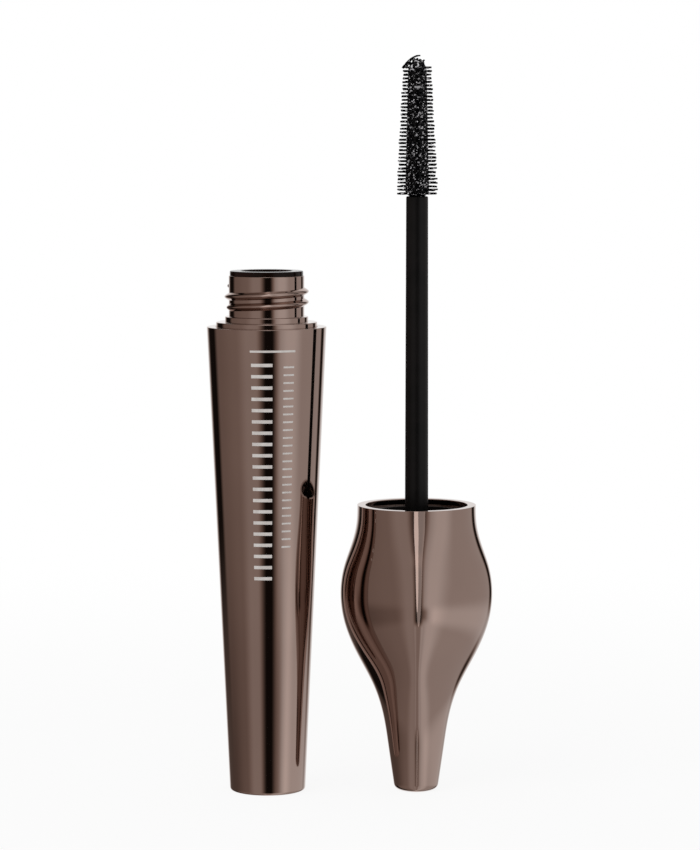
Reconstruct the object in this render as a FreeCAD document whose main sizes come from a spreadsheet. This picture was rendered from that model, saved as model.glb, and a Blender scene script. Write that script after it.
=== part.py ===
"""Mascara tube, open: a tapered bottle with a threaded neck, and its cap, which stands upside
down on its closed end beside the bottle with the wand and brush pointing up.

Millimetres, +Z up.  The origin is the centre of the bottle's base.  The cap's pieces are drawn
about their own axis and then placed beside the bottle by "axis_gap".
"""
import FreeCAD, Part
import math
import os
import re
import Sketcher

doc = FreeCAD.newDocument("MascaraTube")
sizes = doc.addObject("Spreadsheet::Sheet", "Sizes")

DRIVING_SIZES = {
    # bottle: the tapered outer sleeve
    "sleeve_height": 78.2,
    "sleeve_rim_r": 10.0,
    "sleeve_base_r": 6.35,
    "sleeve_edge_fillet": 0.5,
    "sleeve_rim_fillet": 0.15,
    "sleeve_rim_wall": 1.5,
    "sleeve_wall": 2.05,
    "sleeve_base_wall": 1.4,
    "sleeve_floor": 1.2,
    # bottle: the vial inside it
    "vial_clearance": 0.15,
    "vial_wall": 1.1,
    "vial_floor": 1.0,
    "ring_clearance": 0.05,
    "ring_sunk": 1.2,
    "ring_proud": 0.8,
    "ring_fillet": 0.2,
    "collar_height": 0.9,
    "neck_r": 6.3,
    "neck_height": 6.8,
    "neck_bore_r": 5.0,
    "neck_bore_length": 12.0,
    "shoulder_slope": 1.0,
    # neck thread
    "thread_height": 0.75,
    "thread_pitch": 1.78,
    "thread_turns": 2.0,
    "thread_root_width": 1.2,
    "thread_crest_width": 0.4,
    "thread_start": 1.5,
    "thread_root_sunk": 0.2,
    # wiper in the neck
    "wiper_flange_r": 6.125,
    "wiper_flange": 0.8,
    "wiper_fit": 0.02,
    "wiper_wall": 0.7,
    "wiper_skirt": 9.0,
    "wiper_lip_length": 4.0,
    "wiper_lip_wall": 0.5,
    "wiper_grip": 0.1,
    # paste
    "formula_level": 62.0,
    "formula_gap": 0.02,
    "channel_gap": 0.1,
    "channel_floor": 0.4,
    # cap: the ridged outer shell, heights from its closed end
    "axis_gap": 25.05,
    "shell_rim_z": 48.3,
    "shell_collar_z": 44.9,
    "shell_collar_swell": 0.19,
    "shell_throat_z": 41.5,
    "shell_throat_swell": 1.03,
    "shell_shoulder_z": 38.1,
    "shell_shoulder_swell": 2.17,
    "shell_bulge_z": 33.05,
    "shell_bulge_swell": 2.82,
    "shell_hip_z": 28.0,
    "shell_hip_swell": 2.05,
    "shell_flare_z": 22.9,
    "shell_flare_swell": -0.07,
    "shell_waist_z": 17.8,
    "shell_waist_r": 7.23,
    "shell_stem_z": 12.7,
    "shell_stem_r": 5.57,
    "shell_ankle_z": 7.6,
    "shell_ankle_r": 4.72,
    "shell_foot_r": 3.62,
    "shell_foot_fillet": 0.9,
    "shell_ridge_depth": 0.15,
    "shell_foot_depth": 0.05,
    # cap: hollow of the shell
    "shell_mouth_wall": 1.38,
    "mouth_clearance": 0.1,
    "shell_ledge": 0.95,
    "core_bulge_r": 7.0,
    "core_bulge_z": 25.0,
    "core_stem_r": 3.4,
    "core_stem_z": 15.0,
    "core_foot_r": 2.3,
    "core_foot_z": 5.0,
    # cap: the threaded inner cap
    "inner_cap_fit": 0.05,
    "inner_cap_recess": 1.1,
    "inner_cap_wall": 1.2,
    "inner_cap_web": 1.6,
    "inner_thread_clearance": 0.2,
    "inner_thread_turns": 1.0,
    "boss_r": 3.3,
    "boss_length": 9.0,
    # gasket
    "gasket_thickness": 0.7,
    "gasket_r": 6.3,
    "gasket_gap": 0.05,
    "gasket_rod_gap": 0.15,
    # wand rod
    "rod_plug_length": 8.0,
    "rod_r": 1.975,
    "rod_taper": 0.145,
    "rod_length": 61.6,
    "rod_edge": 0.25,
    # brush
    "brush_length": 23.5,
    "brush_base_r": 3.53,
    "brush_tip_r": 2.45,
    "brush_core_r": 1.3,
    "brush_core_tip_r": 0.95,
    "brush_rows": 36,
    "brush_row_width": 0.16,
    "brush_shank": 0.4,
    "brush_bare_tip": 1.2,
    "brush_peg_r": 0.9,
    "brush_peg_length": 8.0,
    "brush_peg_fit": 0.02,
}

for row, (alias, value) in enumerate(DRIVING_SIZES.items(), start=1):
    sizes.set("A%d" % row, alias)
    sizes.set("B%d" % row, str(value))
    sizes.setAlias("B%d" % row, alias)

# Sizes worked out from the driving ones, so that what fits together stays together.
WORKED_OUT = {
    "ring_r": "sleeve_rim_r - sleeve_rim_wall - ring_clearance",
    "ring_seat_z": "sleeve_height - ring_sunk",
    "ring_top_z": "sleeve_height + ring_proud",
    "collar_r": "neck_r + thread_height - 0.1",
    "collar_top_z": "ring_top_z + collar_height",
    "neck_top_z": "collar_top_z + neck_height",
    "seal_z": "neck_top_z + wiper_flange",
    "neck_bore_foot_z": "neck_top_z - neck_bore_length",
    "sleeve_bore_r": "sleeve_rim_r - sleeve_wall",
    "sleeve_bore_foot_r": "sleeve_base_r - sleeve_base_wall",
    "vial_r": "sleeve_bore_r - vial_clearance",
    "vial_foot_r": "sleeve_bore_foot_r - vial_clearance",
    "vial_foot_z": "sleeve_floor + vial_clearance",
    "vial_inside_r": "vial_r - vial_wall",
    "vial_inside_foot_r": "vial_foot_r - vial_wall",
    "vial_inside_foot_z": "vial_foot_z + vial_floor",
    "vial_inside_top_z": "neck_bore_foot_z - (vial_inside_r - neck_bore_r) * shoulder_slope",
    "shell_mouth_r": "ring_r + mouth_clearance",
    "shell_rim_r": "shell_mouth_r + shell_mouth_wall",
    "shell_collar_r": "shell_rim_r + shell_collar_swell",
    "shell_throat_r": "shell_rim_r + shell_throat_swell",
    "shell_shoulder_r": "shell_rim_r + shell_shoulder_swell",
    "shell_bulge_r": "shell_rim_r + shell_bulge_swell",
    "shell_hip_r": "shell_rim_r + shell_hip_swell",
    "shell_flare_r": "shell_rim_r + shell_flare_swell",
    "seal_face_z": "shell_rim_z - (seal_z - sleeve_height)",
    "gasket_foot_z": "seal_face_z - gasket_thickness",
    "inner_ceiling_z": "gasket_foot_z - gasket_gap",
    "inner_cap_foot_z": "inner_ceiling_z - inner_cap_web",
    "inner_cap_rim_z": "shell_rim_z - inner_cap_recess",
    "inner_cap_r": "shell_mouth_r - inner_cap_fit",
    "inner_bore_r": "inner_cap_r - inner_cap_wall",
    "inner_thread_r": "neck_r + inner_thread_clearance",
    "inner_thread_z": "shell_rim_z + sleeve_height - collar_top_z - thread_start - 1.5 * thread_pitch",
    "boss_foot_z": "inner_cap_foot_z - boss_length",
    "rod_foot_z": "inner_cap_foot_z - rod_plug_length",
    "rod_tip_r": "rod_r - rod_taper",
    "rod_top_z": "inner_ceiling_z + rod_length",
    "brush_top_z": "rod_top_z + brush_length",
}

for row, (alias, formula) in enumerate(WORKED_OUT.items(), start=len(DRIVING_SIZES) + 1):
    sizes.set("A%d" % row, alias)
    sizes.set("B%d" % row, "=" + formula)
    sizes.setAlias("B%d" % row, alias)
doc.recompute()


def size(formula):
    """The number that a formula of sheet sizes gives now."""
    return float(sizes.evalExpression(formula))


def bound(formula):
    """The same formula as another object writes it, with each size taken from the sheet."""
    return re.sub(r"\b([a-z]\w*)\b(?!\()", r"Sizes.\1", formula)


def new_body(label):
    body = doc.addObject("PartDesign::Body", label)
    body.Label = label
    return body


def side_sketch(body, name, corners):
    """A closed outline in the body's XZ plane, each corner given as two formulas (radius, height)."""
    sketch = body.newObject("Sketcher::SketchObject", name)
    plane = [item for item in body.Origin.OriginFeatures if item.Role == "XZ_Plane"][0]
    sketch.AttachmentSupport = (plane, [""])
    sketch.MapMode = "FlatFace"
    points = [FreeCAD.Vector(size(across), size(up), 0) for across, up in corners]
    count = len(points)
    for index in range(count):
        sketch.addGeometry(Part.LineSegment(points[index], points[(index + 1) % count]), False)
    for index in range(count):
        sketch.addConstraint(Sketcher.Constraint("Coincident", index, 2, (index + 1) % count, 1))
    for index, (across, up) in enumerate(corners):
        for kind, formula in (("DistanceX", across), ("DistanceY", up)):
            constraint = Sketcher.Constraint(kind, -1, 1, index, 1, size(formula))
            number = sketch.addConstraint(constraint)
            sketch.setExpression("Constraints[%d]" % number, bound(formula))
    return sketch


def turned(body, name, corners, kind="PartDesign::Revolution"):
    """A full turn of an outline about the body's upright axis."""
    sketch = side_sketch(body, name + "_outline", corners)
    feature = body.newObject(kind, name)
    feature.Profile = sketch
    feature.ReferenceAxis = (sketch, ["V_Axis"])
    feature.Angle = 360
    doc.recompute()
    return feature


def bored(body, name, corners):
    """A turned hollow, checked to have taken material away."""
    before = body.Shape.Volume
    feature = turned(body, name, corners, "PartDesign::Groove")
    assert body.Shape.Volume < before - 1e-6, name + " removes nothing"
    return feature


def thread_ridge(body, name, corners, pitch, turns):
    """A right-hand thread ridge: the outline swept along a helix about the upright axis."""
    sketch = side_sketch(body, name + "_outline", corners)
    ridge = body.newObject("PartDesign::AdditiveHelix", name)
    ridge.Profile = sketch
    ridge.ReferenceAxis = (sketch, ["V_Axis"])
    ridge.Mode = "pitch-turns-angle"
    ridge.setExpression("Pitch", bound(pitch))
    ridge.setExpression("Turns", bound(turns))
    ridge.LeftHanded = False
    doc.recompute()
    return ridge


def edges_at(feature, formulas):
    """The names of the round edges whose radius and height are given as (radius, height) formulas."""
    wanted = [(size(radius), size(up)) for radius, up in formulas]
    names = []
    for number, edge in enumerate(feature.Shape.Edges, start=1):
        if not isinstance(edge.Curve, Part.Circle):
            continue
        for radius, up in wanted:
            if abs(edge.Curve.Radius - radius) < 0.01 and abs(edge.Curve.Center.z - up) < 0.01:
                names.append("Edge%d" % number)
    assert len(names) >= len(wanted), "an edge to round is missing"
    return names


def rounded(body, name, feature, formulas, radius):
    """Round edges of a feature to a radius taken from the sheet."""
    fillet = body.newObject("PartDesign::Fillet", name)
    fillet.Base = (feature, edges_at(feature, formulas))
    fillet.setExpression("Radius", bound(radius))
    doc.recompute()
    return fillet


# ---------------------------------------------------------------- bottle

def outer_sleeve():
    """Tapered cover, open at its wide rim, with a seat for the vial's ring just inside the rim."""
    body = new_body("outer_sleeve")
    cone = turned(body, "sleeve_cone", [
        ("0", "0"), ("sleeve_base_r", "0"), ("sleeve_rim_r", "sleeve_height"), ("0", "sleeve_height")])
    rounded(body, "sleeve_base_edge", cone, [("sleeve_base_r", "0")], "sleeve_edge_fillet")
    bored(body, "sleeve_bore", [
        ("0", "sleeve_floor"), ("sleeve_bore_foot_r", "sleeve_floor"),
        ("sleeve_bore_r", "ring_seat_z"), ("0", "ring_seat_z")])
    seat_r = "sleeve_rim_r - sleeve_rim_wall"
    seat = bored(body, "ring_seat", [
        ("0", "ring_seat_z"), (seat_r, "ring_seat_z"), (seat_r, "sleeve_height"), ("0", "sleeve_height")])
    rounded(body, "sleeve_rim_edges", seat,
            [("sleeve_rim_r", "sleeve_height"), (seat_r, "sleeve_height")], "sleeve_rim_fillet")
    return body


def vial():
    """Inner bottle: tapered body, step ring, collar and bored neck with its outside thread."""
    body = new_body("vial")
    form = turned(body, "vial_form", [
        ("0", "vial_foot_z"), ("vial_foot_r", "vial_foot_z"), ("vial_r", "ring_seat_z"),
        ("ring_r", "ring_seat_z"), ("ring_r", "ring_top_z"), ("collar_r", "ring_top_z"),
        ("collar_r", "collar_top_z"), ("neck_r", "collar_top_z"), ("neck_r", "neck_top_z"),
        ("0", "neck_top_z")])
    rounded(body, "ring_edges", form, [("ring_r", "ring_top_z")], "ring_fillet")
    bored(body, "vial_hollow", [
        ("0", "vial_inside_foot_z"), ("vial_inside_foot_r", "vial_inside_foot_z"),
        ("vial_inside_r", "vial_inside_top_z"), ("neck_bore_r", "neck_bore_foot_z"),
        ("neck_bore_r", "neck_top_z"), ("0", "neck_top_z")])
    root_r = "-(neck_r - thread_root_sunk)"
    crest_r = "-(neck_r + thread_height)"
    thread_z = "collar_top_z + thread_start"
    thread_ridge(body, "neck_thread", [
        (root_r, thread_z + " - thread_root_width / 2"),
        (crest_r, thread_z + " - thread_crest_width / 2"),
        (crest_r, thread_z + " + thread_crest_width / 2"),
        (root_r, thread_z + " + thread_root_width / 2")], "thread_pitch", "thread_turns")
    return body


def wiper():
    """Soft sleeve pressed into the neck: a flange on the lip, a skirt, and lips that wipe the rod."""
    body = new_body("wiper")
    skirt_z = "neck_top_z - wiper_skirt"
    lip_z = skirt_z + " - wiper_lip_length"
    skirt_r = "neck_bore_r - wiper_fit"
    lip_r = "rod_tip_r - wiper_grip"
    turned(body, "wiper_form", [
        (skirt_r + " - wiper_wall", "seal_z"), ("wiper_flange_r", "seal_z"),
        ("wiper_flange_r", "neck_top_z"), (skirt_r, "neck_top_z"), (skirt_r, skirt_z),
        (lip_r + " + wiper_lip_wall", lip_z), (lip_r, lip_z), (skirt_r + " - wiper_wall", skirt_z)])
    return body


def mascara_formula():
    """Paste that fills the lower vial round the open channel that the brush has left in it."""
    body = new_body("mascara_formula")
    foot_z = "vial_inside_foot_z + formula_gap"
    spread = "(vial_inside_r - vial_inside_foot_r) / (vial_inside_top_z - vial_inside_foot_z)"
    foot_r = "vial_inside_foot_r - formula_gap"
    level_r = foot_r + " + (formula_level - vial_inside_foot_z) * " + spread
    floor_z = foot_z + " + channel_floor"
    wide_z = floor_z + " + brush_length"
    turned(body, "formula_form", [
        ("0", foot_z), (foot_r, foot_z), (level_r, "formula_level"),
        ("brush_base_r + channel_gap", "formula_level"), ("brush_base_r + channel_gap", wide_z),
        ("brush_tip_r + channel_gap", floor_z), ("0", floor_z)])
    return body


# ---------------------------------------------------------------- cap

SHELL_STATIONS = ("ankle", "stem", "waist", "flare", "hip", "bulge", "shoulder", "throat", "collar", "rim")
SHELL_LEVELS = 20
SHELL_POINTS_ROUND = 32


def ridge_line():
    """Smooth curve of the shell's ridge, radius over height, from the closed end to the rim."""
    points = [FreeCAD.Vector(size("shell_foot_r"), 0, 0)]
    for station in SHELL_STATIONS:
        points.append(FreeCAD.Vector(size("shell_%s_r" % station), 0, size("shell_%s_z" % station)))
    curve = Part.BSplineCurve()
    curve.interpolate(points)
    return curve


def flatness(up):
    """How far the faces between the four ridges lie inside them, as a share of the ridge's radius:
    slight at the closed end, most at the bulge and nothing at the round rim."""
    bulge_z = size("shell_bulge_z")
    foot_share = size("shell_foot_depth")
    most = size("shell_ridge_depth")
    if up <= bulge_z:
        rise = up / bulge_z
        return foot_share + (most - foot_share) * math.sin(rise * math.pi / 2)
    rest = (size("shell_rim_z") - up) / (size("shell_rim_z") - bulge_z)
    return most * math.sin(rest * math.pi / 2) ** 2


def shell_section(curve, up):
    """One closed four-ridged outline at a height, with a ridge on each of the X and Y axes."""
    level = Part.Plane(FreeCAD.Vector(0, 0, up), FreeCAD.Vector(0, 0, 1))
    ridge_r = curve.intersect(level)[0][0].X
    hollow = flatness(up)
    points = []
    for step in range(SHELL_POINTS_ROUND):
        turn = 2 * math.pi * step / SHELL_POINTS_ROUND
        radius = ridge_r * (1 - hollow * (1 - math.cos(4 * turn)) / 2)
        points.append(FreeCAD.Vector(radius * math.cos(turn), radius * math.sin(turn), up))
    outline = Part.BSplineCurve()
    outline.interpolate(points, PeriodicFlag=True)
    return Part.Wire([outline.toShape()])


def cap_shell():
    """Bulb-shaped metallised cover with four soft ridges, hollow inside, closed at its small end."""
    curve = ridge_line()
    height = size("shell_rim_z")
    sections = [shell_section(curve, height * level / SHELL_LEVELS) for level in range(SHELL_LEVELS + 1)]
    blank = Part.makeLoft(sections, True)
    foot_edges = [edge for edge in blank.Edges if edge.BoundBox.ZMax < 0.01]
    form = doc.addObject("Part::Feature", "shell_form")
    form.Shape = blank.makeFillet(size("shell_foot_fillet"), foot_edges)

    core = new_body("shell_core")
    turned(core, "core_form", [
        ("0", "core_foot_z"), ("core_foot_r", "core_foot_z"), ("core_stem_r", "core_stem_z"),
        ("core_bulge_r", "core_bulge_z"), ("shell_mouth_r - shell_ledge", "inner_cap_foot_z"),
        ("shell_mouth_r", "inner_cap_foot_z"), ("shell_mouth_r", "shell_rim_z + 1"),
        ("0", "shell_rim_z + 1")])

    shell = doc.addObject("Part::Cut", "cap_shell")
    shell.Base = form
    shell.Tool = core
    shell.Label = "cap_shell"
    return shell


def inner_cap():
    """Threaded insert fixed in the shell, with a boss behind its web that grips the rod."""
    body = new_body("inner_cap")
    turned(body, "inner_cap_form", [
        ("0", "boss_foot_z"), ("boss_r", "boss_foot_z"), ("boss_r", "inner_cap_foot_z"),
        ("inner_cap_r", "inner_cap_foot_z"), ("inner_cap_r", "inner_cap_rim_z"),
        ("0", "inner_cap_rim_z")])
    bored(body, "inner_cap_bore", [
        ("0", "inner_ceiling_z"), ("inner_bore_r", "inner_ceiling_z"),
        ("inner_bore_r", "inner_cap_rim_z"), ("0", "inner_cap_rim_z")])
    bored(body, "rod_socket", [
        ("0", "rod_foot_z"), ("rod_r", "rod_foot_z"), ("rod_r", "inner_ceiling_z"),
        ("0", "inner_ceiling_z")])
    root_r = "inner_bore_r + thread_root_sunk"
    thread_ridge(body, "inner_thread", [
        (root_r, "inner_thread_z - thread_root_width / 2"),
        ("inner_thread_r", "inner_thread_z - thread_crest_width / 2"),
        ("inner_thread_r", "inner_thread_z + thread_crest_width / 2"),
        (root_r, "inner_thread_z + thread_root_width / 2")], "thread_pitch", "inner_thread_turns")
    return body


def gasket():
    """Washer that lies loose round the rod on the inner cap's web and seals on the wiper's flange."""
    body = new_body("gasket")
    turned(body, "gasket_form", [
        ("rod_r + gasket_rod_gap", "gasket_foot_z"), ("gasket_r", "gasket_foot_z"),
        ("gasket_r", "seal_face_z"), ("rod_r + gasket_rod_gap", "seal_face_z")])
    return body


def wand_rod():
    """Slightly tapered rod, fixed in the inner cap's boss, with a socket for the brush's peg."""
    body = new_body("wand_rod")
    rod = turned(body, "rod_form", [
        ("0", "rod_foot_z"), ("rod_r", "rod_foot_z"), ("rod_r", "inner_ceiling_z"),
        ("rod_tip_r", "rod_top_z"), ("0", "rod_top_z")])
    rounded(body, "rod_end_edge", rod, [("rod_tip_r", "rod_top_z")], "rod_edge")
    bored(body, "peg_socket", [
        ("0", "rod_top_z - brush_peg_length"), ("brush_peg_r", "rod_top_z - brush_peg_length"),
        ("brush_peg_r", "rod_top_z"), ("0", "rod_top_z")])
    return body


def brush():
    """Moulded brush: a peg, a tapered core, and rows of bristles, each row drawn as one thin disc."""
    peg_foot_z = "rod_top_z - brush_peg_length + brush_peg_fit"
    peg_r = "brush_peg_r - brush_peg_fit"
    core = new_body("brush_core")
    form = turned(core, "core_and_peg", [
        ("0", peg_foot_z), (peg_r, peg_foot_z), (peg_r, "rod_top_z"), ("brush_core_r", "rod_top_z"),
        ("brush_core_tip_r", "brush_top_z"), ("0", "brush_top_z")])
    rounded(core, "core_tip", form, [("brush_core_tip_r", "brush_top_z")], "brush_core_tip_r * 0.8")

    fused = [core]
    for row in range(int(size("brush_rows"))):
        share = "%d / (brush_rows - 1)" % row
        disc = doc.addObject("Part::Cylinder", "bristle_row_%02d" % (row + 1))
        disc.setExpression("Radius", bound("brush_base_r + (brush_tip_r - brush_base_r) * " + share))
        disc.setExpression("Height", bound("brush_row_width"))
        disc.setExpression("Placement.Base.z", bound(
            "rod_top_z + brush_shank + (brush_length - brush_shank - brush_bare_tip) * " + share))
        fused.append(disc)
    whole = doc.addObject("Part::MultiFuse", "brush")
    whole.Shapes = fused
    whole.Label = "brush"
    return whole


BOTTLE_PIECES = (outer_sleeve, vial, wiper, mascara_formula)
CAP_PIECES = (cap_shell, inner_cap, gasket, wand_rod, brush)

pieces = [make() for make in BOTTLE_PIECES]
for make in CAP_PIECES:
    piece = make()
    piece.setExpression("Placement.Base.x", bound("axis_gap"))
    pieces.append(piece)
doc.recompute()

for item in doc.Objects:
    assert "Invalid" not in item.State and "Error" not in item.State, item.Label + " has failed"

os.makedirs("parts", exist_ok=True)
for piece in pieces:
    shape = piece.Shape
    assert not shape.isNull() and shape.isValid() and shape.Volume > 0, piece.Label + " is not sound"
    shape.exportStep("parts/%s.step" % piece.Label)
    print("%-16s solids %d  volume %.1f mm3" % (piece.Label, len(shape.Solids), shape.Volume))
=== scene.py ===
"""Looks of the open mascara tube: mirror-bronze bottle, and its bulb-shaped cap with wand and brush."""
import math
import random

import bmesh
import bpy
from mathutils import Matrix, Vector


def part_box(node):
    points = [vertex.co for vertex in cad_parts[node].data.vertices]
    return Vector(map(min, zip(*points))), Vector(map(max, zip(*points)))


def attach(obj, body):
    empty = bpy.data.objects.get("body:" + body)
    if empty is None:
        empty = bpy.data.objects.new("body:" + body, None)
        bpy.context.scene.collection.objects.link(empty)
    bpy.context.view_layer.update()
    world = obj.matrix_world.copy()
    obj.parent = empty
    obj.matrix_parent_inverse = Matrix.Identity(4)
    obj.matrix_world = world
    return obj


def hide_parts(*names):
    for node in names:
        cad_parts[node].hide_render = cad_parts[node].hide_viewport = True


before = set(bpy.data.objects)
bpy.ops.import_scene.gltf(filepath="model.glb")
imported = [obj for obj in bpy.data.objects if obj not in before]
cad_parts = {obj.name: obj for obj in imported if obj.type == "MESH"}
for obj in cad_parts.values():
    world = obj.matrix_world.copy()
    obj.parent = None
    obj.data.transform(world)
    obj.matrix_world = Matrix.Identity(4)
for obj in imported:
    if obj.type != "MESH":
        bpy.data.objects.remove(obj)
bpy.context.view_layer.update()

MM = 0.001


# ---------------------------------------------------------------- driving sizes, millimetres

def reach(node):
    """A turned piece's axis place, widest radius, foot and top."""
    low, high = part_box(node)
    return (low.x + high.x) / 2 / MM, (high.x - low.x) / 2 / MM, low.z / MM, high.z / MM


BOTTLE_X, SLEEVE_RIM_R, _, SLEEVE_TOP = reach("outer_sleeve")
_, WIPER_R, WIPER_FOOT, SEAL_Z = reach("wiper")
CAP_X, _, _, SHELL_TOP = reach("cap_shell")
_, INNER_CAP_R, INNER_CAP_FOOT, INNER_CAP_RIM = reach("inner_cap")
_, GASKET_R, GASKET_FOOT, GASKET_TOP = reach("gasket")
_, ROD_R, ROD_FOOT, ROD_TOP = reach("wand_rod")
_, BRUSH_R, _, BRUSH_TOP = reach("brush")

SLEEVE_BASE_R = 6.35
SLEEVE_WALL = 2.05
SLEEVE_FOOT_WALL = 1.4
SLEEVE_FLOOR = 1.2
RIM_LAND = 1.5
SEAT_DEPTH = 1.2
SEAT_R = SLEEVE_RIM_R - RIM_LAND
SEAT_Z = SLEEVE_TOP - SEAT_DEPTH

VIAL_GAP = 0.15
VIAL_WALL = 1.1
VIAL_FLOOR = 1.0
RING_GAP = 0.05
RING_RISE = 0.8
COLLAR_R = 6.95
COLLAR_RISE = 0.9
NECK_R = 6.3
NECK_RISE = 6.8
NECK_BORE_R = 5.0
NECK_BORE_DEPTH = 12.0
RING_R = SEAT_R - RING_GAP
RING_TOP = SLEEVE_TOP + RING_RISE
COLLAR_TOP = RING_TOP + COLLAR_RISE
NECK_TOP = COLLAR_TOP + NECK_RISE
NECK_BORE_FOOT = NECK_TOP - NECK_BORE_DEPTH

THREAD_PITCH = 1.78
THREAD_HEIGHT = 0.75
THREAD_START = 1.5
THREAD_SUNK = 0.2
THREAD_OUTLINE = ((-0.86, 0), (-0.62, 0.22), (-0.40, 0.60), (-0.18, 0.93), (0, 1),
                  (0.18, 0.93), (0.40, 0.60), (0.62, 0.22), (0.86, 0))
THREAD_CREST_R = NECK_R + THREAD_HEIGHT
THREAD_Z = COLLAR_TOP + THREAD_START
NECK_THREAD_TURNS = 2.0

WIPER_GAP = 0.02
WIPER_WALL = 0.7
WIPER_SKIRT = 9
WIPER_LIP_R = 1.73
WIPER_LIP_WALL = 0.5

PRINT_LIFT = 0.012
BAR_STEPS = 10
# turn from, turn to (degrees), foot, thickness, count, pitch
PRINT_ROWS = ((-15, 30, 74.5, 0.35, 1, 0), (-14, 7, 36.6, 0.55, 20, 1.87), (18, 29, 42.0, 0.3, 24, 1.3))

CEILING_GAP = 0.05
INNER_WALL = 1.2
INNER_THREAD_GAP = 0.2
INNER_THREAD_TURNS = 1.0
WEB_THICK = 1.6
BOSS_R = 3.3
CEILING_Z = GASKET_FOOT - CEILING_GAP
INNER_BORE_R = INNER_CAP_R - INNER_WALL
WEB_FOOT = CEILING_Z - WEB_THICK

GASKET_GAP = 0.15
ROD_TIP_R = 1.83

BRUSH_SEED = 7
BRUSH_TIP_R = 2.45
BRUSH_ROWS = 36
BRISTLES_ROUND = 24
BRISTLE_THICK = 0.40
BRISTLE_TIP = 0.27
FIRST_ROW_RISE = 0.48
ROWS_RUN = BRUSH_TOP - ROD_TOP - 2.7
TIP_BRISTLES = 46

SHELL_RIM_R = 9.93
SHELL_MOUTH_GAP = 0.05
SHELL_MOUTH_R = INNER_CAP_R + SHELL_MOUTH_GAP
# height, radius at the ridge
RIDGE_LINE = ((0, 3.62), (7.6, 4.72), (12.7, 5.57), (17.8, 7.23), (22.9, 9.86), (28.0, 11.98),
              (33.05, 12.75), (38.1, 12.10), (41.5, 10.96), (44.9, 10.12), (48.3, SHELL_RIM_R))
BULGE_Z = 33.05
RIDGE_DEPTH = 0.15
RIDGE_SOFTNESS = 0.16
FOOT_DEPTH = 0.05
FOOT_ROUND = 0.9
FOOT_INSET = 0.3
FOOT_STEPS = 8
SHELL_AROUND = 256
SHELL_LEVELS = 150
RIM_START = 0.15

# how outlines and threads are drawn
TURNED_SIDES = 192
CORNER_ROUND = 0.06
CORNER_SHARE = 0.45
CORNER_STEPS = 6
HOLD = 0.05
HOLD_SHARE = 0.04
THREAD_STEPS = 120
FADE_DEG = 25
FADE_LEAST = 0.02

# metres from here on
SKIN_DEPTH = 0.00002
FLOOR_HALF = 6
FLOOR_DROP = 0.00002
TENT_CENTRE = (12.5 * MM, 0, 45 * MM)
TENT_R = 0.9
CAP_LAMP_AWAY = 0.5
# name, degrees round the cap, width, foot, top, brightness
CAP_LAMPS = (("cap_fill", 5, 0.21, -0.28, 0.85, 0.40), ("cap_strip", -2, 0.09, -0.12, 0.60, 0.7))
CAMERA_PLACE = (13.9 * MM, -564 * MM, 114.7 * MM)
CAMERA_PITCH = 5.37
CAMERA_LENS = 143.5


# ---------------------------------------------------------------- shader writing

class Value:
    """A socket of a node, which plain Python operators work on."""

    def __init__(self, tree, socket):
        self.tree = tree
        self.socket = socket

    def math(self, operation, first, second=0.0):
        return make_node(self.tree, "ShaderNodeMath", {"operation": operation}, {0: first, 1: second})

    def __add__(self, other):
        return self.math("ADD", self, other)

    def __sub__(self, other):
        return self.math("SUBTRACT", self, other)

    def __rsub__(self, other):
        return self.math("SUBTRACT", other, self)

    def __mul__(self, other):
        return self.math("MULTIPLY", self, other)

    __radd__ = __add__
    __rmul__ = __mul__

    def rise(self, low, high):
        """0 below low and 1 above high, with a smooth step between."""
        return make_node(self.tree, "ShaderNodeMapRange", {"interpolation_type": "SMOOTHSTEP"},
                         {"Value": self, "From Min": low, "From Max": high})

    def band(self, low, high, soft):
        """1 between low and high, with soft edges."""
        begun = self.rise(low - soft / 2, low + soft / 2)
        ended = self.rise(high - soft / 2, high + soft / 2)
        return begun * (1 - ended)


def make_node(tree, kind, settings=None, inputs=None, out=0):
    node = tree.nodes.new(kind)
    for name, value in (settings or {}).items():
        setattr(node, name, value)
    for name, value in (inputs or {}).items():
        if isinstance(value, Value):
            tree.links.new(value.socket, node.inputs[name])
        else:
            node.inputs[name].default_value = value
    return Value(tree, node.outputs[out]) if node.outputs else None


def new_tree(name):
    material = bpy.data.materials.new(name)
    material.use_nodes = True
    material.node_tree.nodes.clear()
    return material, material.node_tree


def noise(tree, scale, detail=3.0):
    place = make_node(tree, "ShaderNodeTexCoord", out="Object")
    return make_node(tree, "ShaderNodeTexNoise", {}, {"Vector": place, "Scale": scale, "Detail": detail})


def mix_colour(tree, share, first, second):
    node = tree.nodes.new("ShaderNodeMix")
    node.data_type = "RGBA"
    tree.links.new(share.socket, node.inputs["Factor"])
    node.inputs[6].default_value = (*first, 1)
    node.inputs[7].default_value = (*second, 1)
    return Value(tree, node.outputs[2])


def surface(name, dark, light, grain, rough, rough_spread, bump, metallic=0.0, shine=0.5, painted_glints=None):
    """A moulded or plated finish: its colour, gloss and skin vary a little over the piece.
    Painted glints are light highlight specks painted into the base colour, given as (grain, least noise)."""
    material, tree = new_tree(name)
    cloud = noise(tree, grain)
    fine = noise(tree, grain * 7, 2.0)
    skin = make_node(tree, "ShaderNodeBump", {},
                     {"Height": fine, "Strength": bump, "Distance": SKIN_DEPTH}, out="Normal")
    share = cloud.rise(0.3, 0.7)
    # painted highlight: light glint specks painted into the base colour replace the random tone
    if painted_glints:
        share = noise(tree, painted_glints[0], 1.0).rise(painted_glints[1], painted_glints[1] + 0.04)
    shader = make_node(tree, "ShaderNodeBsdfPrincipled", {}, {
        "Base Color": mix_colour(tree, share, dark, light),
        "Roughness": rough + (cloud - 0.5) * rough_spread,
        "Metallic": metallic, "Specular IOR Level": shine, "Normal": skin})
    make_node(tree, "ShaderNodeOutputMaterial", {}, {"Surface": shader})
    return material


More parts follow.
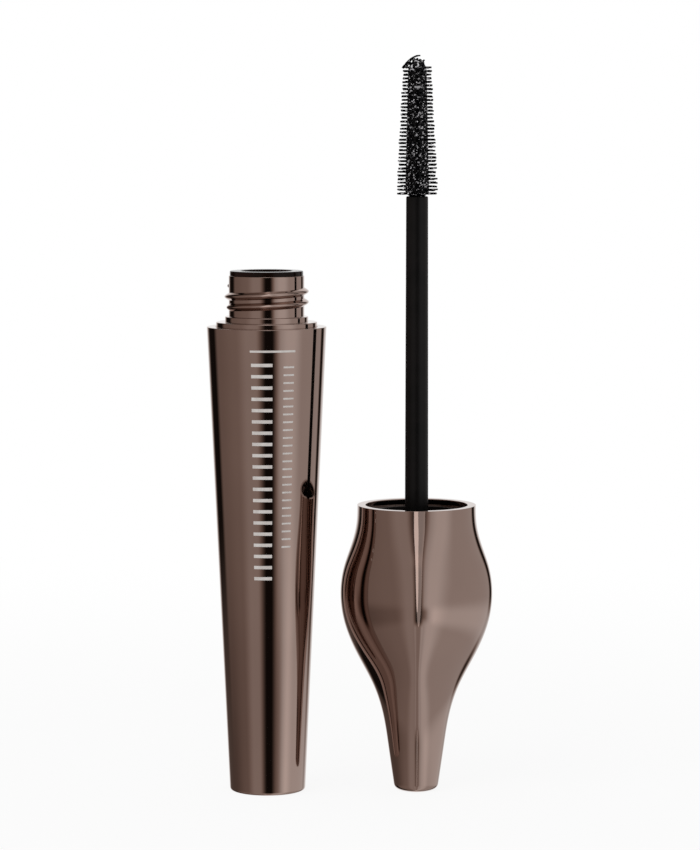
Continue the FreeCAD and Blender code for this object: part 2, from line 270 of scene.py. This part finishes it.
bronze = surface("bronze_metallised", (0.360, 0.262, 0.228), (0.382, 0.280, 0.243),
                 grain=60, rough=0.05, rough_spread=0.03, bump=0.02, metallic=1.0)
wiper_rubber = surface("wiper_rubber", (0.007, 0.003, 0.002), (0.014, 0.005, 0.004),
                       grain=300, rough=0.14, rough_spread=0.06, bump=0.1, shine=0.1)
paste = surface("formula_black", (0.004, 0.004, 0.004), (0.009, 0.008, 0.008),
                grain=500, rough=0.18, rough_spread=0.15, bump=0.5)
inner_black = surface("inner_cap_black", (0.004, 0.003, 0.003), (0.008, 0.006, 0.006),
                      grain=200, rough=0.35, rough_spread=0.1, bump=0.1, shine=0.15)
gasket_rubber = surface("gasket_rubber", (0.010, 0.009, 0.009), (0.018, 0.016, 0.015),
                        grain=400, rough=0.6, rough_spread=0.15, bump=0.3, shine=0.15)
rod_black = surface("rod_black", (0.003, 0.003, 0.003), (0.006, 0.005, 0.005),
                    grain=250, rough=0.34, rough_spread=0.08, bump=0.1, shine=0.16)
# black brush; its light colour is painted glints, highlight specks painted into the base colour
brush_black = surface("brush_black", (0.002, 0.002, 0.003), (0.80, 0.78, 0.80),
                      grain=900, rough=0.2, rough_spread=0.2, bump=0.6, shine=0.14, painted_glints=(2100, 0.61))
print_white = surface("print_white", (0.66, 0.61, 0.58), (0.76, 0.72, 0.69),
                      grain=900, rough=0.5, rough_spread=0.1, bump=0.1)


# ---------------------------------------------------------------- mesh making

def finished(mesh_maker, name, body, material, nodes=(), sharp=35):
    """The mesh as a piece that rides its body, in metres."""
    bmesh.ops.recalc_face_normals(mesh_maker, faces=mesh_maker.faces)
    bmesh.ops.scale(mesh_maker, vec=(MM, MM, MM), verts=mesh_maker.verts)
    mesh = bpy.data.meshes.new(name)
    mesh_maker.to_mesh(mesh)
    mesh_maker.free()
    mesh.shade_smooth()
    mesh.set_sharp_from_angle(angle=math.radians(sharp))
    mesh.materials.append(material)
    piece = bpy.data.objects.new(name, mesh)
    bpy.context.scene.collection.objects.link(piece)
    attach(piece, body)
    if nodes:
        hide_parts(*nodes)
    return piece


def softened(corners, closed):
    """An outline with its corners rounded, and a close pair of points at each end of a straight run."""
    points = []
    count = len(corners)
    for i, corner in enumerate(corners):
        here = Vector(corner[:2])
        radius = corner[2] if len(corner) > 2 else CORNER_ROUND
        if not closed and i in (0, count - 1):
            points.append(here)
            continue
        back = Vector(corners[i - 1][:2]) - here
        ahead = Vector(corners[(i + 1) % count][:2]) - here
        cut = min(radius, back.length * CORNER_SHARE, ahead.length * CORNER_SHARE)
        start = here + back.normalized() * cut
        end = here + ahead.normalized() * cut
        hold = min(HOLD, back.length * HOLD_SHARE, ahead.length * HOLD_SHARE)
        points.append(start + back.normalized() * hold)
        for step in range(CORNER_STEPS + 1):
            t = step / CORNER_STEPS
            points.append(start * (1 - t) ** 2 + here * 2 * t * (1 - t) + end * t ** 2)
        points.append(end + ahead.normalized() * hold)
    return points


def skin_rings(maker, rings, closed):
    """Faces between neighbouring rings, with a fan where a ring is a single point."""
    pairs = list(zip(rings, rings[1:]))
    if closed:
        pairs.append((rings[-1], rings[0]))
    for low, high in pairs:
        count = max(len(low), len(high))
        if count == 1:
            continue
        for i in range(count):
            j = (i + 1) % count
            face = [low[i % len(low)], low[j % len(low)], high[j % len(high)], high[i % len(high)]]
            maker.faces.new(list(dict.fromkeys(face)))


def turn_into(maker, corners, axis_x, around=TURNED_SIDES, closed=False):
    rings = []
    for point in softened(corners, closed):
        if point.x < 1e-6:
            rings.append([maker.verts.new((axis_x, 0, point.y))])
            continue
        rings.append([maker.verts.new((axis_x + point.x * math.cos(a), point.x * math.sin(a), point.y))
                      for a in (2 * math.pi * i / around for i in range(around))])
    skin_rings(maker, rings, closed)


def thread_into(maker, axis_x, root_r, crest_r, middle_z, turns, start_turn):
    """A right-hand thread ridge that fades in and out at its ends."""
    steps = int(turns * THREAD_STEPS)
    rings = []
    for step in range(steps + 1):
        share = step / steps
        fade = min(1.0, share * turns * 360 / FADE_DEG, (1 - share) * turns * 360 / FADE_DEG)
        fade = max(FADE_LEAST, math.sin(fade * math.pi / 2))
        turn = start_turn + 2 * math.pi * turns * share
        height = middle_z + THREAD_PITCH * turns * share
        ring = []
        for up, out in THREAD_OUTLINE:
            radius = root_r + (crest_r - root_r) * out * fade
            place = (axis_x + radius * math.cos(turn), radius * math.sin(turn), height + up)
            ring.append(maker.verts.new(place))
        rings.append(ring)
    skin_rings(maker, rings, False)
    maker.faces.new(rings[0])
    maker.faces.new(rings[-1])


# ---------------------------------------------------------------- bottle pieces

def make_sleeve():
    maker = bmesh.new()
    turn_into(maker, [
        (0, 0), (SLEEVE_BASE_R, 0, 0.5), (SLEEVE_RIM_R, SLEEVE_TOP, 0.15), (SEAT_R, SLEEVE_TOP, 0.15),
        (SEAT_R, SEAT_Z), (SLEEVE_RIM_R - SLEEVE_WALL, SEAT_Z),
        (SLEEVE_BASE_R - SLEEVE_FOOT_WALL, SLEEVE_FLOOR), (0, SLEEVE_FLOOR)], BOTTLE_X, 256)
    return finished(maker, "sleeve_cover", "bottle", bronze, ["outer_sleeve"])


def make_vial():
    maker = bmesh.new()
    outside_r = SLEEVE_RIM_R - SLEEVE_WALL - VIAL_GAP
    inside_r = outside_r - VIAL_WALL
    foot_r = SLEEVE_BASE_R - SLEEVE_FOOT_WALL - VIAL_GAP
    foot_z = SLEEVE_FLOOR + VIAL_GAP
    turn_into(maker, [
        (0, foot_z), (foot_r, foot_z), (outside_r, SEAT_Z), (RING_R, SEAT_Z), (RING_R, RING_TOP, 0.2),
        (COLLAR_R, RING_TOP), (COLLAR_R, COLLAR_TOP, 0.15), (NECK_R, COLLAR_TOP), (NECK_R, NECK_TOP, 0.12),
        (NECK_BORE_R, NECK_TOP), (NECK_BORE_R, NECK_BORE_FOOT),
        (inside_r, NECK_BORE_FOOT - inside_r + NECK_BORE_R),
        (foot_r - VIAL_WALL, foot_z + VIAL_FLOOR), (0, foot_z + VIAL_FLOOR)], BOTTLE_X)
    thread_into(maker, BOTTLE_X, NECK_R - THREAD_SUNK, THREAD_CREST_R, THREAD_Z, NECK_THREAD_TURNS, math.pi)
    return finished(maker, "vial_and_thread", "bottle", bronze, ["vial"])


def make_wiper():
    maker = bmesh.new()
    skirt_r = NECK_BORE_R - WIPER_GAP
    bore_r = skirt_r - WIPER_WALL
    skirt_foot = NECK_TOP - WIPER_SKIRT
    turn_into(maker, [
        (bore_r, SEAL_Z, 0.2), (WIPER_R, SEAL_Z, 0.25), (WIPER_R, NECK_TOP), (skirt_r, NECK_TOP),
        (skirt_r, skirt_foot), (WIPER_LIP_R + WIPER_LIP_WALL, WIPER_FOOT), (WIPER_LIP_R, WIPER_FOOT),
        (bore_r, skirt_foot)], BOTTLE_X, closed=True)
    return finished(maker, "wiper_sleeve", "bottle", wiper_rubber, ["wiper"])


def bar_into(maker, turn_low, turn_high, low, high):
    """A bar that lies on the sleeve between two turns, in degrees, and two heights."""
    rows = []
    for up in (low, high):
        radius = SLEEVE_BASE_R + (SLEEVE_RIM_R - SLEEVE_BASE_R) * up / SLEEVE_TOP + PRINT_LIFT
        row = []
        for i in range(BAR_STEPS + 1):
            turn = math.radians(turn_low + (turn_high - turn_low) * i / BAR_STEPS)
            place = (BOTTLE_X + radius * math.sin(turn), -radius * math.cos(turn), up)
            row.append(maker.verts.new(place))
        rows.append(row)
    for i in range(BAR_STEPS):
        maker.faces.new((rows[0][i], rows[0][i + 1], rows[1][i + 1], rows[1][i]))


def make_print():
    """Plain bars and ticks where the bottle carries print; they say nothing."""
    maker = bmesh.new()
    for turn_low, turn_high, foot, thick, count, pitch in PRINT_ROWS:
        for tick in range(count):
            low = foot + tick * pitch
            bar_into(maker, turn_low, turn_high, low, low + thick)
    return finished(maker, "print_marks", "bottle", print_white)


# ---------------------------------------------------------------- cap pieces

def spline(points):
    """A natural cubic curve through (height, radius) points, as a function of height."""
    count = len(points)
    bend = [0.0] * count
    carry = [0.0] * count
    for i in range(1, count - 1):
        before = points[i][0] - points[i - 1][0]
        after = points[i + 1][0] - points[i][0]
        slopes = (points[i + 1][1] - points[i][1]) / after - (points[i][1] - points[i - 1][1]) / before
        pivot = 2 * (before + after) - before * carry[i - 1]
        carry[i] = after / pivot
        bend[i] = (6 * slopes - before * bend[i - 1]) / pivot
    for i in range(count - 2, 0, -1):
        bend[i] -= carry[i] * bend[i + 1]

    def at(height):
        i = max(k for k in range(count - 1) if points[k][0] <= height + 1e-9 or k == 0)
        span = points[i + 1][0] - points[i][0]
        b = (height - points[i][0]) / span
        a = 1 - b
        return (a * points[i][1] + b * points[i + 1][1]
                + ((a ** 3 - a) * bend[i] + (b ** 3 - b) * bend[i + 1]) * span ** 2 / 6)
    return at


def hollow_at(height):
    if height <= BULGE_Z:
        return FOOT_DEPTH + (RIDGE_DEPTH - FOOT_DEPTH) * math.sin(height / BULGE_Z * math.pi / 2)
    return RIDGE_DEPTH * math.sin((SHELL_TOP - height) / (SHELL_TOP - BULGE_Z) * math.pi / 2) ** 2


def shell_ring(maker, radius, height, hollow):
    """A ring with four softly rounded ridges: a superellipse, or a circle where hollow is 0."""
    power = 1 / (0.5 - math.log2(1 - hollow))
    crest = (1 + RIDGE_SOFTNESS ** 2) ** (power / 2) + RIDGE_SOFTNESS ** power
    made = []
    for i in range(SHELL_AROUND):
        turn = 2 * math.pi * i / SHELL_AROUND
        across = (math.cos(turn) ** 2 + RIDGE_SOFTNESS ** 2) ** 0.5
        deep = (math.sin(turn) ** 2 + RIDGE_SOFTNESS ** 2) ** 0.5
        out = radius * (crest / (across ** power + deep ** power)) ** (1 / power)
        made.append(maker.verts.new((CAP_X + out * math.cos(turn), out * math.sin(turn), height)))
    return made


def make_shell():
    maker = bmesh.new()
    ridge = spline(RIDGE_LINE)
    rim_r = ridge(SHELL_TOP)
    rings = [[maker.verts.new((CAP_X, 0, 0))],
             shell_ring(maker, ridge(0) - FOOT_ROUND - FOOT_INSET, 0, FOOT_DEPTH)]
    for step in range(FOOT_STEPS + 1):
        lift = math.pi / 2 * step / FOOT_STEPS
        height = FOOT_ROUND * (1 - math.cos(lift))
        radius = ridge(height) - FOOT_ROUND * (1 - math.sin(lift))
        rings.append(shell_ring(maker, radius, height, hollow_at(height)))
    for step in range(1, SHELL_LEVELS + 1):
        height = FOOT_ROUND + (SHELL_TOP - RIM_START - FOOT_ROUND) * step / SHELL_LEVELS
        rings.append(shell_ring(maker, ridge(height), height, hollow_at(height)))
    rim = softened([(rim_r, SHELL_TOP - 0.1), (rim_r, SHELL_TOP, 0.08),
                    (SHELL_MOUTH_R, SHELL_TOP, 0.12), (SHELL_MOUTH_R, WEB_FOOT)], False)
    for point in rim:
        rings.append(shell_ring(maker, point.x, point.y, 0))
    rings.append([maker.verts.new((CAP_X, 0, WEB_FOOT))])
    skin_rings(maker, rings, False)
    return finished(maker, "shell_cover", "cap", bronze, ["cap_shell"])


def make_inner_cap():
    maker = bmesh.new()
    turn_into(maker, [
        (0, INNER_CAP_FOOT), (BOSS_R, INNER_CAP_FOOT), (BOSS_R, WEB_FOOT), (INNER_CAP_R, WEB_FOOT),
        (INNER_CAP_R, INNER_CAP_RIM, 0.15), (INNER_BORE_R, INNER_CAP_RIM, 0.15), (INNER_BORE_R, CEILING_Z),
        (ROD_R, CEILING_Z), (ROD_R, ROD_FOOT), (0, ROD_FOOT)], CAP_X)
    thread_z = SHELL_TOP + SLEEVE_TOP - THREAD_Z - 1.5 * THREAD_PITCH
    thread_into(maker, CAP_X, INNER_BORE_R + THREAD_SUNK, NECK_R + INNER_THREAD_GAP, thread_z,
                INNER_THREAD_TURNS, 0.0)
    return finished(maker, "inner_cap_insert", "cap", inner_black, ["inner_cap"])


def make_gasket():
    maker = bmesh.new()
    bore_r = ROD_R + GASKET_GAP
    turn_into(maker, [(bore_r, GASKET_FOOT, 0.1), (GASKET_R, GASKET_FOOT, 0.1),
                      (GASKET_R, GASKET_TOP, 0.1), (bore_r, GASKET_TOP, 0.1)], CAP_X, closed=True)
    return finished(maker, "gasket_washer", "gasket", gasket_rubber, ["gasket"])


def make_rod():
    maker = bmesh.new()
    turn_into(maker, [(0, ROD_FOOT), (ROD_R, ROD_FOOT), (ROD_R, CEILING_Z), (ROD_TIP_R, ROD_TOP, 0.25),
                      (0, ROD_TOP)], CAP_X, 96)
    return finished(maker, "wand_stem", "cap", rod_black, ["wand_rod"])


def spike_into(maker, points, thick, tip):
    """A four-sided tapered bristle along its points, with a blunt end."""
    rings = []
    for i, point in enumerate(points):
        ahead = (points[min(i + 1, len(points) - 1)] - points[max(i - 1, 0)]).normalized()
        side = ahead.cross(Vector((0, 0, 1)) if abs(ahead.z) < 0.9 else Vector((0, 1, 0))).normalized()
        other = ahead.cross(side)
        half = (thick + (tip - thick) * i / (len(points) - 1)) / 2
        rings.append([maker.verts.new(point + (side * x + other * y) * half)
                      for x, y in ((1, 0), (0, 1), (-1, 0), (0, -1))])
    skin_rings(maker, rings, False)
    maker.faces.new(rings[0])
    maker.faces.new(rings[-1])


def core_into(maker):
    """The peg in the rod, the flare above it and the tapering core."""
    turn_into(maker, [(0, ROD_TOP - 1), (1.3, ROD_TOP - 1), (1.3, ROD_TOP), (2.0, ROD_TOP + 0.7, 0.3),
                      (1.55, BRUSH_TOP - 2.4, 0.8), (0.9, BRUSH_TOP - 1.2, 0.5), (0, BRUSH_TOP - 0.7)],
              CAP_X, 48)


def rows_into(maker, chance):
    for row in range(BRUSH_ROWS):
        share = row / (BRUSH_ROWS - 1)
        middle = Vector((CAP_X, 0, ROD_TOP + FIRST_ROW_RISE + ROWS_RUN * share))
        row_r = BRUSH_R + (BRUSH_TIP_R - BRUSH_R) * share
        for i in range(BRISTLES_ROUND):
            place = i + 0.5 * (row % 2) + chance.uniform(-0.25, 0.25)
            turn = 2 * math.pi * place / BRISTLES_ROUND
            length = row_r * chance.uniform(0.90, 1.0)
            drift = chance.uniform(-0.1, 0.1)
            out = Vector((math.cos(turn), math.sin(turn), 0))
            bend = middle + out * (length * 0.75) + Vector((0, 0, drift * 0.4))
            end = middle + out * length + Vector((0, 0, drift))
            spike_into(maker, [middle + out * 1.0, bend, end], BRISTLE_THICK, BRISTLE_TIP)


def tip_into(maker, chance):
    """Bristles that stand out of the brush's tip every way."""
    base = Vector((CAP_X, 0, BRUSH_TOP - 2.6))
    for _ in range(TIP_BRISTLES):
        turn = chance.uniform(0, 2 * math.pi)
        lean = chance.uniform(0.2, 1.1)
        out = Vector((math.cos(turn) * math.sin(lean), math.sin(turn) * math.sin(lean), math.cos(lean)))
        length = chance.uniform(1.5, 2.05)
        spike_into(maker, [base, base + out * (length * 0.6), base + out * length], 0.42, 0.28)


def strands_into(maker):
    """Two strands that curl over the tip from one side."""
    for start_x, start_y, end_x, thick in ((-2.45, -0.4, 0.5, 0.42), (-1.9, 0.3, 0.2, 0.34)):
        base = Vector((CAP_X + start_x, start_y, BRUSH_TOP - 2.35))
        peak = Vector((CAP_X + (start_x + end_x) / 2, start_y * 0.5, BRUSH_TOP - 0.2))
        end = Vector((CAP_X + end_x, start_y * 0.2, BRUSH_TOP - 0.25))
        spike_into(maker, [base * (1 - t) ** 2 + peak * 2 * t * (1 - t) + end * t ** 2
                           for t in (i / 8 for i in range(9))], thick, 0.24)


def make_brush():
    """Core thick with paste, rows of short bristles, and a few that bend over the tip."""
    chance = random.Random(BRUSH_SEED)
    maker = bmesh.new()
    core_into(maker)
    rows_into(maker, chance)
    tip_into(maker, chance)
    strands_into(maker)
    return finished(maker, "brush_head", "cap", brush_black, ["brush"], sharp=50)


def dress_paste():
    """The paste keeps its CAD shape; it lies out of sight behind the wiper."""
    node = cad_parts["mascara_formula"]
    node.data.materials.clear()
    node.data.materials.append(paste)


# ---------------------------------------------------------------- room

def shown_white(tree):
    """1 for rays from the camera, off gloss and through clear things."""
    path = tree.nodes.new("ShaderNodeLightPath")
    total = Value(tree, path.outputs["Is Camera Ray"]) + Value(tree, path.outputs["Is Glossy Ray"])
    return total + Value(tree, path.outputs["Is Transmission Ray"])


def room_mesh(maker, name, material):
    mesh = bpy.data.meshes.new(name)
    maker.to_mesh(mesh)
    maker.free()
    mesh.materials.append(material)
    thing = bpy.data.objects.new(name, mesh)
    bpy.context.scene.collection.objects.link(thing)
    return thing


def make_floor():
    """A pale floor that shows the shadow near the object and fades to white away from it."""
    material, tree = new_tree("pale_floor")
    diffuse = make_node(tree, "ShaderNodeBsdfDiffuse", {}, {"Color": (0.9, 0.9, 0.9, 1)})
    glow = make_node(tree, "ShaderNodeEmission", {}, {"Color": (1, 1, 1, 1), "Strength": 1.0})
    place = make_node(tree, "ShaderNodeNewGeometry", out="Position")
    away = make_node(tree, "ShaderNodeVectorMath", {"operation": "LENGTH"}, {0: place}, out="Value")
    share = shown_white(tree) * (0.9 + away.rise(0.06, 0.3) * 0.1)
    both = make_node(tree, "ShaderNodeMixShader", {}, {0: share, 1: diffuse, 2: glow})
    make_node(tree, "ShaderNodeOutputMaterial", {}, {"Surface": both})
    maker = bmesh.new()
    bmesh.ops.create_grid(maker, x_segments=1, y_segments=1, size=FLOOR_HALF)
    floor = room_mesh(maker, "floor", material)
    floor.location.z = -FLOOR_DROP
    floor.visible_glossy = False


def make_tent():
    """A light tent round the object that only its mirror surfaces see: panels, gaps and flags."""
    material, tree = new_tree("light_tent")
    place = make_node(tree, "ShaderNodeNewGeometry", out="Position")
    away = make_node(tree, "ShaderNodeVectorMath", {"operation": "SUBTRACT"}, {0: place, 1: TENT_CENTRE})
    away = make_node(tree, "ShaderNodeVectorMath", {"operation": "NORMALIZE"}, {0: away})
    parts = tree.nodes.new("ShaderNodeSeparateXYZ")
    tree.links.new(away.socket, parts.inputs[0])
    x, y, z = (Value(tree, socket) for socket in parts.outputs)
    round_deg = x.math("ARCTAN2", x, y * -1.0) * (180 / math.pi)
    up_deg = z.math("ARCSINE", z) * (180 / math.pi)
    low = up_deg.band(-26, -13, 9)
    near_left = round_deg.band(-50, -12, 26)
    far_left = 1 - round_deg.rise(-112, -62)
    left = round_deg.band(-152, -11, 20) * (0.34 + near_left * (0.14 + low * 0.07) - low * 0.08)
    left = left * (1 - far_left * (0.22 + low * 0.25))
    left_flag = round_deg.band(-147, -115, 14) * (1 - low * 0.95)
    right = round_deg.band(20, 151, 18) * (0.58 + round_deg.band(32, 66, 24) * 0.25 + low * 0.22)
    right = right * (1 - low * 0.65 * (1 - round_deg.rise(26, 58)))
    right_flag = round_deg.band(133, 149, 8) * (1 - low * 0.8)
    behind = 1 - round_deg.band(-154, 151, 18)
    below = (1 - up_deg.rise(-34, -26)) * round_deg.band(-14, 24, 12) * 0.42
    glow = left * (1 - left_flag) + right * (1 - right_flag) + behind + below
    overhead = round_deg.band(-18, 18, 24) * up_deg.rise(25, 50) * 1.1
    level = glow + overhead + 0.012
    tint = mix_colour(tree, level.rise(0.1, 0.8), (1.0, 0.78, 0.68), (1.0, 1.0, 1.0))
    lamp = make_node(tree, "ShaderNodeEmission", {}, {"Color": tint, "Strength": level})
    make_node(tree, "ShaderNodeOutputMaterial", {}, {"Surface": lamp})
    material.cycles.emission_sampling = "NONE"
    maker = bmesh.new()
    bmesh.ops.create_icosphere(maker, subdivisions=5, radius=TENT_R)
    tent = room_mesh(maker, "light_tent", material)
    tent.location = TENT_CENTRE
    tent.visible_camera = False
    tent.visible_diffuse = False
    tent.visible_shadow = False
    tent.visible_transmission = False


def make_world():
    world = bpy.data.worlds.new("studio")
    bpy.context.scene.world = world
    world.use_nodes = True
    tree = world.node_tree
    tree.nodes.clear()
    plain = make_node(tree, "ShaderNodeBackground", {}, {"Color": (1, 1, 1, 1), "Strength": 0.6})
    white = make_node(tree, "ShaderNodeBackground", {}, {"Color": (1, 1, 1, 1), "Strength": 1.0})
    both = make_node(tree, "ShaderNodeMixShader", {}, {0: shown_white(tree), 1: plain, 2: white})
    make_node(tree, "ShaderNodeOutputWorld", {}, {"Surface": both})


def make_lamp(name, place, aim, width, height, power, receivers=(), shape="RECTANGLE"):
    data = bpy.data.lights.new(name, "AREA")
    data.shape = shape
    data.size = width
    data.size_y = height
    data.energy = power
    lamp = bpy.data.objects.new(name, data)
    lamp.location = place
    lamp.rotation_euler = (Vector(aim) - Vector(place)).to_track_quat("-Z", "Y").to_euler()
    bpy.context.scene.collection.objects.link(lamp)
    if receivers:
        group = bpy.data.collections.new(name + "_receivers")
        for piece in receivers:
            group.objects.link(piece)
        lamp.light_linking.receiver_collection = group


def make_cap_lamps(shell):
    """A fill in the dark gap of the tent, and a slim bright strip, that only the shell sees."""
    for name, round_deg, wide, foot, top, level in CAP_LAMPS:
        turn = math.radians(round_deg)
        middle = (foot + top) / 2
        tall = top - foot
        place = (CAP_X * MM + CAP_LAMP_AWAY * math.sin(turn), -CAP_LAMP_AWAY * math.cos(turn), middle)
        power = level * math.pi * wide * tall
        make_lamp(name, place, (CAP_X * MM, 0, middle), wide, tall, power, [shell], "ELLIPSE")


def make_camera():
    data = bpy.data.cameras.new("camera")
    data.lens = CAMERA_LENS
    data.sensor_width = 36
    data.clip_start = 0.01
    camera = bpy.data.objects.new("camera", data)
    camera.location = CAMERA_PLACE
    camera.rotation_euler = (math.radians(90 - CAMERA_PITCH), 0, 0)
    bpy.context.scene.collection.objects.link(camera)
    bpy.context.scene.camera = camera


make_camera()
make_world()
make_floor()
make_tent()
make_sleeve()
make_vial()
make_wiper()
make_print()
dress_paste()
shell = make_shell()
make_inner_cap()
make_gasket()
make_rod()
make_brush()
make_lamp("key", (-0.5, -0.5, 0.9), (0.012, 0, 0.06), 0.8, 0.8, 3.0)
make_cap_lamps(shell)
bpy.context.scene.view_settings.view_transform = "Standard"
